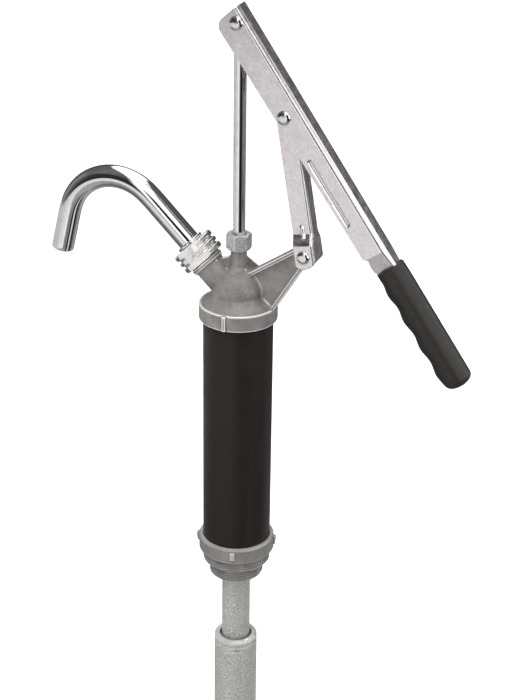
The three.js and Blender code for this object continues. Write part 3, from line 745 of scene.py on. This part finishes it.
def head_ribs(bm):
    """Two ribs from the neck, one towards the spout and one behind, and a lug on the rim."""
    prism(bm, [(-4, 279.5), (-7.5, 278.5), (-18.5, 274), (-26, 262), (-10, 256), (-4, 262)], 1.5)
    rib = bmesh.new()
    prism(rib, [(4, 279.5), (7, 279), (21, 265.5), (20.8, 255), (4, 258)], 1.4)
    rib.transform(Matrix.Rotation(math.radians(50), 4, "Z"))
    merge(bm, rib)
    box(bm, (3.0, 4.0, RIM_TOP - RIM_BOTTOM - 0.8), (0, -RIM_R + 0.4, (RIM_TOP + RIM_BOTTOM) / 2))


def head_spout_boss(bm):
    """The slanting boss with a collar and a spigot for the spout's nut."""
    boss_r, collar_r, spigot_r = 13, 14.8, 13.6
    boss = bmesh.new()
    lathe(boss, [(0, 4), (boss_r, 4), (boss_r, 36.5), (collar_r, 38.6), (collar_r, 41.6), (spigot_r, 41.6),
                 (spigot_r, 51), (0, 51)], soft=0)
    boss.transform(SPOUT_FRAME)
    merge(bm, boss)


def bead(bm, path, radius):
    """A thin raised line along a list of points."""
    for point in path:
        bmesh.ops.create_icosphere(bm, subdivisions=2, radius=radius, matrix=Matrix.Translation(point))


def head_beads(bm):
    """The raised line where the arm's web runs into the dome and down the skirt."""
    dome_steps, skirt_steps = 40, 16
    bead_r = 0.95
    over_dome = DOME_R + 0.45
    for side in (-1, 1):
        y = side * (WEB_THICK / 2 + 0.5)
        path = []
        for i in range(dome_steps):
            turn = math.radians(52 - 56 * i / (dome_steps - 1))
            x = math.sqrt(max((over_dome * math.cos(turn)) ** 2 - y * y, 0))
            path.append((x, y, DOME_Z + over_dome * math.sin(turn)))
        for i in range(skirt_steps):
            t = i / (skirt_steps - 1)
            path.append((DOME_R + 0.2 + t * 9.6, y, DOME_Z - 2 - t * 8.2))
        bead(bm, path, bead_r)


def hollow_head(head):
    """The chamber with the cylinder's socket and the rod's bore, the spout's bore and the pin's hole."""
    socket_r, socket_top = box_mm("cylinder_tube")[1].x + SLIP, 235.7
    rod_r = 5.35
    roof_r = DOME_R - SHELL_WALL
    roof = arc((0, DOME_Z), roof_r, -0.12, math.acos(rod_r / roof_r), 16)
    socket = [(0, RIM_BOTTOM - 4), (socket_r, RIM_BOTTOM - 4), (socket_r, socket_top), (28.2, socket_top),
              (27, 237)]
    machine(head, socket + roof + [(rod_r, NECK_TOP + 2), (0, NECK_TOP + 2)])
    machine(head, rod_profile(SPOUT_BORE, 0, 53), SPOUT_FRAME)
    machine(head, rod_profile(3.3, -20, 20), crosswise(ARM_PIVOT), FINE)


def make_head(material):
    bm = bmesh.new()
    head_shell(bm)
    head_arm(bm)
    head_ribs(bm)
    head_spout_boss(bm)
    head_beads(bm)
    head = link_object("pump_head", bm)
    remesh = head.modifiers.new("remesh", "REMESH")
    remesh.mode = "VOXEL"
    remesh.voxel_size = 0.5
    smooth = head.modifiers.new("smooth", "SMOOTH")
    smooth.factor = 0.5
    smooth.iterations = 3
    bake_modifiers(head)
    hollow_head(head)
    place_piece(head, "head_casting", material, sharp=55)


# ---- nuts ----
def make_gland_nut(material):
    """A hexagon with turned ends, screwed over the neck."""
    low, high = box_mm("gland_nut")
    corner = 19 / math.sqrt(3)
    bm = bmesh.new()
    turns = [math.radians(-90 + 60 * i) for i in range(6)]
    rows = [[(corner * math.cos(t), corner * math.sin(t), z) for t in turns] for z in (low.z, high.z)]
    bottom, top = add_grid(bm, rows)
    bm.faces.new(bottom)
    bm.faces.new(reversed(top))
    bevel_sharp(bm, 0.35, 40, 2)
    nut = link_object("gland_nut_hex", bm)
    turned = [(0, low.z), (corner - 2.6, low.z), (corner + 0.2, low.z + 2.6), (corner + 0.2, high.z - 1.5),
              (corner - 2.0, high.z), (0, high.z)]
    machine(nut, turned, soft=0.3, operation="INTERSECT")
    neck_r, rod_r, mouth_r = NECK_R + SLIP, 5.45, 6.6
    machine(nut, [(0, low.z - 1), (neck_r, low.z - 1), (neck_r, high.z - 2.5), (rod_r, high.z - 2.5),
                  (rod_r, high.z - 1.2), (mouth_r, high.z + 0.1), (mouth_r, high.z + 1), (0, high.z + 1)])
    place_piece(nut, "gland_nut", material)


def make_spout_nut(material):
    """A union nut with two grooves round it and two flats for a wrench."""
    bottom, top, r = 42.5, 60.0, 19.0
    pitch, groove, depth = 5.8, 2.2, 2.2
    profile = [(0, bottom), (r - 1.2, bottom), (r, bottom + 1.2)]
    for i in (2, 1):
        centre = top - pitch * i
        profile += [(r, centre - groove / 2 - 0.3), (r - depth, centre - groove / 2 + 0.4),
                    (r - depth, centre + groove / 2 - 0.4), (r, centre + groove / 2 + 0.3)]
    profile += [(r, top - 1.2), (r - 1.2, top), (0, top)]
    bm = bmesh.new()
    lathe(bm, profile, soft=0.7)
    nut = link_object("spout_nut_ribbed", bm)
    flat_turn = Matrix.Rotation(0.227, 4, "Z")
    for side in (1, -1):
        flat = bmesh.new()
        box(flat, (23, 10, top - bottom + 4), (0, side * 20, (top + bottom) / 2), flat_turn)
        boolean(nut, link_object("flat", flat))
    thread_r, shoulder = 14.3, 57
    machine(nut, [(0, bottom - 1), (thread_r, bottom - 1), (thread_r, shoulder), (SPOUT_BORE, shoulder),
                  (SPOUT_BORE, top + 1), (0, top + 1)])
    place_piece(nut, "spout_nut", material, SPOUT_FRAME)


# ---- spout ----
SPOUT_R, SPOUT_WALL = 9.5, 1.3
SPOUT_BEND_R, SPOUT_EASING = 43.2, 20.0
SPOUT_LEG_START, SPOUT_LEG_END = 34.0, 113.2
MOUTH_TILT, MOUTH_LENGTH = 0.2304, 38.5
SPOUT_STEPS = 80


def spout_route():
    """Points and directions along the gooseneck's centre line; the bend eases in and out of the legs."""
    axis = SPOUT_FRAME.to_3x3() @ Vector((0, 0, 1))
    start = SPOUT_FOOT + axis * SPOUT_LEG_START
    point = SPOUT_FOOT + axis * (SPOUT_LEG_END - SPOUT_EASING / 2)
    route = [(start.lerp(point, i / 12), axis) for i in range(13)]
    bend_length = SPOUT_BEND_R * (math.pi + SPOUT_TURN - MOUTH_TILT) + SPOUT_EASING
    size = bend_length / SPOUT_STEPS
    turned = 0.0
    for i in range(SPOUT_STEPS):
        middle = (i + 0.5) * size
        share = min(1, middle / SPOUT_EASING, (bend_length - middle) / SPOUT_EASING)
        half_turn = share / SPOUT_BEND_R * size / 2
        turned += half_turn
        point = point + Matrix.Rotation(-turned, 3, "Y") @ axis * size
        turned += half_turn
        route.append((point, Matrix.Rotation(-turned, 3, "Y") @ axis))
    end, along = route[-1]
    mouth_leg = MOUTH_LENGTH - SPOUT_EASING / 2
    route += [(end + along * mouth_leg * i / 8, along) for i in range(1, 9)]
    return route


def tube_ring(centre, along, radius):
    """A circle of points square to a direction in the XZ plane."""
    side = Vector((0, 1, 0))
    up = side.cross(along)
    turns = [2 * math.pi * i / FINE for i in range(FINE)]
    return [centre + (side * math.cos(t) + up * math.sin(t)) * radius for t in turns]


def make_spout(material):
    """The bent tube, with its mouth's rim slightly rounded."""
    rim = 0.35
    bore = SPOUT_R - SPOUT_WALL
    route = spout_route()
    end, along = route[-1]
    rows = [tube_ring(centre, direction, SPOUT_R) for centre, direction in route[:-1]]
    rows.append(tube_ring(end - along * rim, along, SPOUT_R))
    rows.append(tube_ring(end - along * rim * 0.3, along, SPOUT_R - rim * 0.3))
    rows.append(tube_ring(end, along, SPOUT_R - rim))
    rows.append(tube_ring(end, along, bore + rim))
    rows += [tube_ring(centre, direction, bore) for centre, direction in reversed(route)]
    bm = bmesh.new()
    add_grid(bm, rows, closed_along=True)
    place_piece(link_object("gooseneck", bm), "spout_tube", material)


def make_spout_collar(material):
    bm = bmesh.new()
    lathe(bm, ring_profile(SPOUT_BORE, 12, 60.3, 63), FINE, soft=0.8, closed=True)
    place_piece(link_object("spout_collar_ring", bm), "spout_collar", material, SPOUT_FRAME)


# ---- rod ----
def make_rod(material):
    """The rod, with a thinner shank for the piston and a cross eye for the lever's pin."""
    bottom, top = box_mm("piston_rod")[0].z, ROD_PIVOT.z
    r, shank_r, shoulder = 5.15, 4.0, 212.0
    eye_r, eye_half, hole_r = 6.4, 6.8, 3.2
    bm = bmesh.new()
    profile = [(0, bottom), (shank_r, bottom), (shank_r, shoulder), (r, shoulder), (r, top), (0, top)]
    lathe(bm, profile, FINE, 0.5)
    rod = link_object("polished_rod", bm)
    machine(rod, rod_profile(eye_r, -eye_half, eye_half), crosswise(ROD_PIVOT), FINE, 0.8, "UNION")
    machine(rod, rod_profile(hole_r, -20, 20), crosswise(ROD_PIVOT), FINE)
    place_piece(rod, "piston_rod", material)


# ---- sheet-metal channels ----
def channel_section(open_edge, back, half_width, corner_r, flange_steps):
    """Outer points (across the web, Y, outward normal) from one open edge round to the other."""
    web_steps, arc_steps = 10, 6
    corner = back - corner_r
    side = half_width - corner_r
    points = []
    for i in range(flange_steps):
        points.append((open_edge + (corner - open_edge) * i / flange_steps, -half_width, (0, -1)))
    for i in range(arc_steps):
        t = -math.pi / 2 + math.pi / 2 * i / arc_steps
        across, out = math.cos(t), math.sin(t)
        points.append((corner + corner_r * across, -side + corner_r * out, (across, out)))
    near_side = points[:]
    for i in range(web_steps + 1):
        points.append((back, -side + 2 * side * i / web_steps, (1, 0)))
    return points + [(across, -y, (n[0], -n[1])) for across, y, n in reversed(near_side)]


def sheet_channel(stations, section_at, place):
    """place(along, across, y) puts a point; section_at(along) gives points with outward normals."""
    outer_rows, inner_rows = [], []
    for along in stations:
        section = section_at(along)
        outer_rows.append([place(along, a, y) for a, y, n in section])
        inner_rows.append([place(along, a - n[0] * SHEET, y - n[1] * SHEET) for a, y, n in section])
    rows = [outer + inner[::-1] for outer, inner in zip(outer_rows, inner_rows)]
    bm = bmesh.new()
    grid = add_grid(bm, rows)
    width = len(outer_rows[0])
    for row in (grid[0], grid[-1]):
        outer, inner = row[:width], row[width:][::-1]
        for i in range(width - 1):
            bm.faces.new((outer[i], outer[i + 1], inner[i + 1], inner[i]))
    return bm


def steps(start, end, size):
    """Even steps of about one size, without the end."""
    count = max(1, round((end - start) / size))
    return [start + (end - start) * i / count for i in range(count)]


def clamp(value):
    return min(max(value, 0.0), 1.0)


def ease(value, start, end):
    """A smooth step from 0 to 1."""
    t = clamp((value - start) / (end - start))
    return t * t * (3 - 2 * t)


def groove(along, across, start, end, centre, half_width):
    """1 in the middle of a round-ended groove, 0 outside it."""
    nearest = min(max(along, start + half_width), end - half_width)
    distance = math.hypot(along - nearest, across - centre) / half_width
    return max(0.0, 1 - distance * distance) ** 0.8


# ---- lever ----
LEVER_START, LEVER_END, LEVER_BACK = -11.0, 305.0, 8.5
LEVER_HALF_WIDTH, TANG_HALF_WIDTH = 10, 7
LEVER_CORNER_R, TANG_CORNER_R = 4.4, 2.8
NECK_START, FOLD_START, NECK_MID, GRIP_START = 208.0, 211.5, 213.5, 227.0
PIVOT_END_V, PIVOT_END_R, END_SLOPE = -7.2, 8.2, 0.13


def lever_open_edge(u):
    """The flanges' free edge: a slight taper, a notch at the neck, a bulge, and the tang in the grip."""
    taper = 2.8 * clamp(u / 190)
    if u < NECK_START:
        return -15.4 + taper
    notch = 3.4 * ease(u, NECK_START + 2, NECK_MID)
    bulge = 1.4 * math.sin(math.pi * clamp((u - NECK_MID) / 16))
    tang = 2.7 * ease(u, GRIP_START - 3, GRIP_START + 8)
    return -12.6 + notch - bulge + tang


def lever_section(u):
    """The channel's section, with a groove pressed into each flange and a fold where the tang starts."""
    narrowing = clamp((u - FOLD_START) / (GRIP_START + 2 - FOLD_START))
    half_width = LEVER_HALF_WIDTH + (TANG_HALF_WIDTH - LEVER_HALF_WIDTH) * narrowing
    corner_r = LEVER_CORNER_R + (TANG_CORNER_R - LEVER_CORNER_R) * ease(u, NECK_START, GRIP_START)
    shaped = []
    for v, y, n in channel_section(lever_open_edge(u), LEVER_BACK, half_width, corner_r, flange_steps=44):
        dent = 1.3 * groove(u, v, 119.9, 181.8, -7.8, 2.3) if abs(n[1]) == 1 else 0
        shaped.append((v, y - n[1] * dent, n))
    return shaped


def lever_end(v):
    """How far the rounded pivot end lags behind the web's corner."""
    if v > PIVOT_END_V:
        return (LEVER_BACK - v) * END_SLOPE
    drop = min((PIVOT_END_V - v) / PIVOT_END_R, 1.0)
    return (LEVER_BACK - PIVOT_END_V) * END_SLOPE + PIVOT_END_R * (1 - math.sqrt(1 - drop * drop))


def make_lever(material):
    blend = 30.0

    def place(u, v, y):
        lag = lever_end(v) * max(0.0, 1 - (u - LEVER_START) / blend)
        return (u + lag, y, v)

    stations = steps(LEVER_START, -4, 0.5) + steps(-4, 116, 1.6) + steps(116, 186, 0.7) + steps(186, 204, 1.5)
    stations += steps(204, 232, 0.6) + steps(232, LEVER_END, 6) + [LEVER_END]
    bm = sheet_channel(stations, lever_section, place)
    bevel_sharp(bm, 0.3)
    place_piece(link_object("lever_channel", bm), "handle_channel", material, HANDLE_FRAME, sharp=35)


# ---- link ----
LINK_LENGTH = 115.8
LINK_BACK, LINK_OPEN, LINK_CORNER_R = 9.3, -7.3, 2.6
LINK_HALF_WIDTH, FOOT_HALF_WIDTH = 8, 12
JOG_START, JOG_END = 9.3, 19.5
FOOT_R, TIP_R = 10.4, 7.3


def link_section(w):
    """The channel's section, joggled out to the foot, with a stiffening bulge in each flange."""
    half_width = FOOT_HALF_WIDTH + (LINK_HALF_WIDTH - FOOT_HALF_WIDTH) * ease(w, JOG_START, JOG_END)
    shaped = []
    for across, y, n in channel_section(LINK_OPEN, LINK_BACK, half_width, LINK_CORNER_R, flange_steps=34):
        bulge = 1.7 * groove(w, across, 14.5, 26.5, 1.2, 1.9) if abs(n[1]) == 1 else 0
        shaped.append((across, y + n[1] * bulge, n))
    return shaped


def link_foot(n):
    """How far the rounded foot reaches past its pin."""
    return -math.sqrt(max(FOOT_R ** 2 - n * n, 0.0))


def link_tip(n):
    """How far the rounded head reaches past its rivets."""
    return math.sqrt(max(TIP_R ** 2 - n * n, 0.0)) if n < TIP_R else -(n - TIP_R) * 1.5


def make_link(material):
    blend = 9.0

    def place(w, n, y):
        bottom_pull = max(0.0, 1 - w / blend)
        top_pull = max(0.0, 1 - (LINK_LENGTH - w) / blend)
        return (n, y, w + link_foot(n) * bottom_pull + link_tip(n) * top_pull)

    stations = steps(0, 8, 0.8) + steps(8, 30, 0.5) + steps(30, LINK_LENGTH - 10, 3)
    stations += steps(LINK_LENGTH - 10, LINK_LENGTH, 0.8) + [LINK_LENGTH]
    bm = sheet_channel(stations, link_section, place)
    bevel_sharp(bm, 0.3)
    place_piece(link_object("link_strut", bm), "link_channel", material, LINK_FRAME, sharp=35)


# ---- rivets ----
def facing(side):
    """Turns Z towards -Y or +Y."""
    return Matrix.Rotation(math.pi / 2 if side < 0 else -math.pi / 2, 4, "X")


def make_rivet(name, node, material, sides=(-1, 1)):
    """A shank with a low domed head on each side asked for."""
    low, high = box_mm(node)
    centre = (low + high) / 2
    head_r, head_height, shank_r = (high.x - low.x) / 2, 2.1, 3.0
    base = max(abs(low.y), abs(high.y)) - 1.6
    inner = -base if len(sides) == 2 else 8.6
    shank = bmesh.new()
    lathe(shank, rod_profile(shank_r, inner, base + 0.05), FINE, soft=0)
    shank.transform(facing(sides[0]))
    rivet = link_object(name, shank)
    dome = [(0, base), (head_r, base)]
    for out, up in ((1, 0.2), (0.86, 0.55), (0.55, 0.9), (0, 1)):
        dome.append((head_r * out, base + head_height * up))
    for side in sides:
        machine(rivet, dome, facing(side), 48, 0.5, "UNION")
    place_piece(rivet, node, material, Matrix.Translation((centre.x, 0, centre.z)))


# ---- grip ----
GRIP_END, GRIP_TAIL, GRIP_CENTRE, GRIP_R = 341.0, 9.0, 0.3, 12.0
GRIP_CRESTS = (247.0, 272.0, 298.0, 324.0)
CREST_REACH, CREST_HEIGHT, BELLY = 12.8, 1.0, 0.5
LIP_DEPTH, LIP_LENGTH = 0.7, 1.2


def grip_radius(u):
    """Round the sleeve, closing over its tail."""
    swell = GRIP_R + 0.3 * ease(u, GRIP_START, GRIP_START + 14)
    tail = max(0.0, (u - (GRIP_END - GRIP_TAIL)) / GRIP_TAIL)
    return swell * math.sqrt(max(0.0, 1 - tail ** 3)) if tail < 1 else 0.0


def grip_wave(u):
    """Finger waves, from -1 in a hollow to 1 on a crest."""
    nearest = min(abs(u - crest) for crest in GRIP_CRESTS)
    return math.cos(min(nearest / CREST_REACH, 1) * math.pi) * ease(u, GRIP_START + 2, GRIP_START + 14)


def grip_lip(u):
    """How much the sleeve's mouth has rounded out."""
    if u >= GRIP_START + LIP_LENGTH:
        return LIP_DEPTH
    return LIP_DEPTH * math.sqrt(max(0.0, 1 - ((u - GRIP_START) / LIP_LENGTH - 1) ** 2))


def grip_row(u, segments=96):
    """One ring of the sleeve; the waves are on its underside only."""
    radius = grip_radius(u)
    sleeve = max(radius - LIP_DEPTH + grip_lip(u), 0)
    wave = (CREST_HEIGHT * grip_wave(u) + BELLY) * radius / 13
    row = []
    for i in range(segments):
        t = 2 * math.pi * i / segments
        r = sleeve + wave * max(0.0, math.cos(t)) ** 1.5
        row.append((u, r * math.sin(t), GRIP_CENTRE - r * math.cos(t)))
    return row


def make_grip(material):
    stations = steps(GRIP_START, GRIP_START + 3, 0.5) + steps(GRIP_START + 3, GRIP_END - GRIP_TAIL, 1.2)
    stations += [GRIP_END - GRIP_TAIL * (1 - math.sin(math.pi / 2 * i / 16)) for i in range(17)]
    bm = bmesh.new()
    grid = add_grid(bm, [grip_row(u) for u in stations])
    bm.faces.new(grid[0])
    grip = link_object("grip_sleeve", bm)
    tang_half, tang_low, tang_high = 7.4, -9.2, LEVER_BACK + 0.4
    socket_start, socket_length = GRIP_START - 6, 86
    socket = bmesh.new()
    box(socket, (socket_length, 2 * tang_half, tang_high - tang_low),
        (socket_start + socket_length / 2, 0, (tang_high + tang_low) / 2))
    boolean(grip, link_object("socket", socket))
    place_piece(grip, "handle_grip", material, HANDLE_FRAME, sharp=50)


# ---- hidden parts keep their CAD shape ----
RUBBER_NODES = ("head_gasket", "gland_packing", "spout_seal", "base_gasket", "foot_valve_disc",
                "suction_seal", "piston_cup", "piston_valve_disc")
BRASS_NODES = ("foot_valve_seat", "foot_valve_cage", "piston_body", "piston_follower", "piston_nut")


def dress(nodes, material):
    for node in nodes:
        slots = frame["nodes"][node].data.materials
        slots.clear()
        slots.append(material)


def build_pump():
    casting = die_casting("die_casting", (0.135, 0.128, 0.124), (0.24, 0.229, 0.22), 0.53)
    bung_casting = die_casting("bung_casting", (0.12, 0.118, 0.113), (0.21, 0.207, 0.199), 0.7)
    zinc = galvanised("galvanised_steel", (0.52, 0.525, 0.495), 0.4, 0.3, 0.5, 0.4)
    plate = bright_plate("bright_plate", (0.96, 0.905, 0.92), 0.18, 0.3)
    chrome = bright_plate("chrome", (0.95, 0.94, 0.935), 0.04, 0.1, (1, 1, 0.3))
    rivet_plate = bright_plate("rivet_plate", (0.95, 0.94, 0.92), 0.1, 0.2)
    nut_plate = galvanised("nut_plate", (0.54, 0.53, 0.515), 0.6, 0.25, 0.45, 0.4, 0.85)
    ribbed = galvanised("spout_nut_plate", (0.9, 0.88, 0.87), 1.0, 0.16, 0.26, 0.15)

    make_cylinder(black_enamel())
    make_adapter(bung_casting)
    make_inner_pipe(zinc)
    make_outer_pipe(zinc)
    make_head(casting)
    make_gland_nut(nut_plate)
    make_spout_nut(ribbed)
    make_spout(chrome)
    make_spout_collar(rivet_plate)
    make_rod(chrome)
    make_lever(plate)
    make_link(plate)
    make_rivet("pin_rod", "rod_pin", rivet_plate)
    make_rivet("pin_arm", "fulcrum_pin", rivet_plate)
    make_rivet("rivet_front", "link_rivet_front", rivet_plate, (-1,))
    make_rivet("rivet_back", "link_rivet_back", rivet_plate, (1,))
    make_grip(moulded_vinyl())

    dress(RUBBER_NODES, seal_rubber())
    dress(BRASS_NODES, machined_brass())


make_studio()
build_pump()
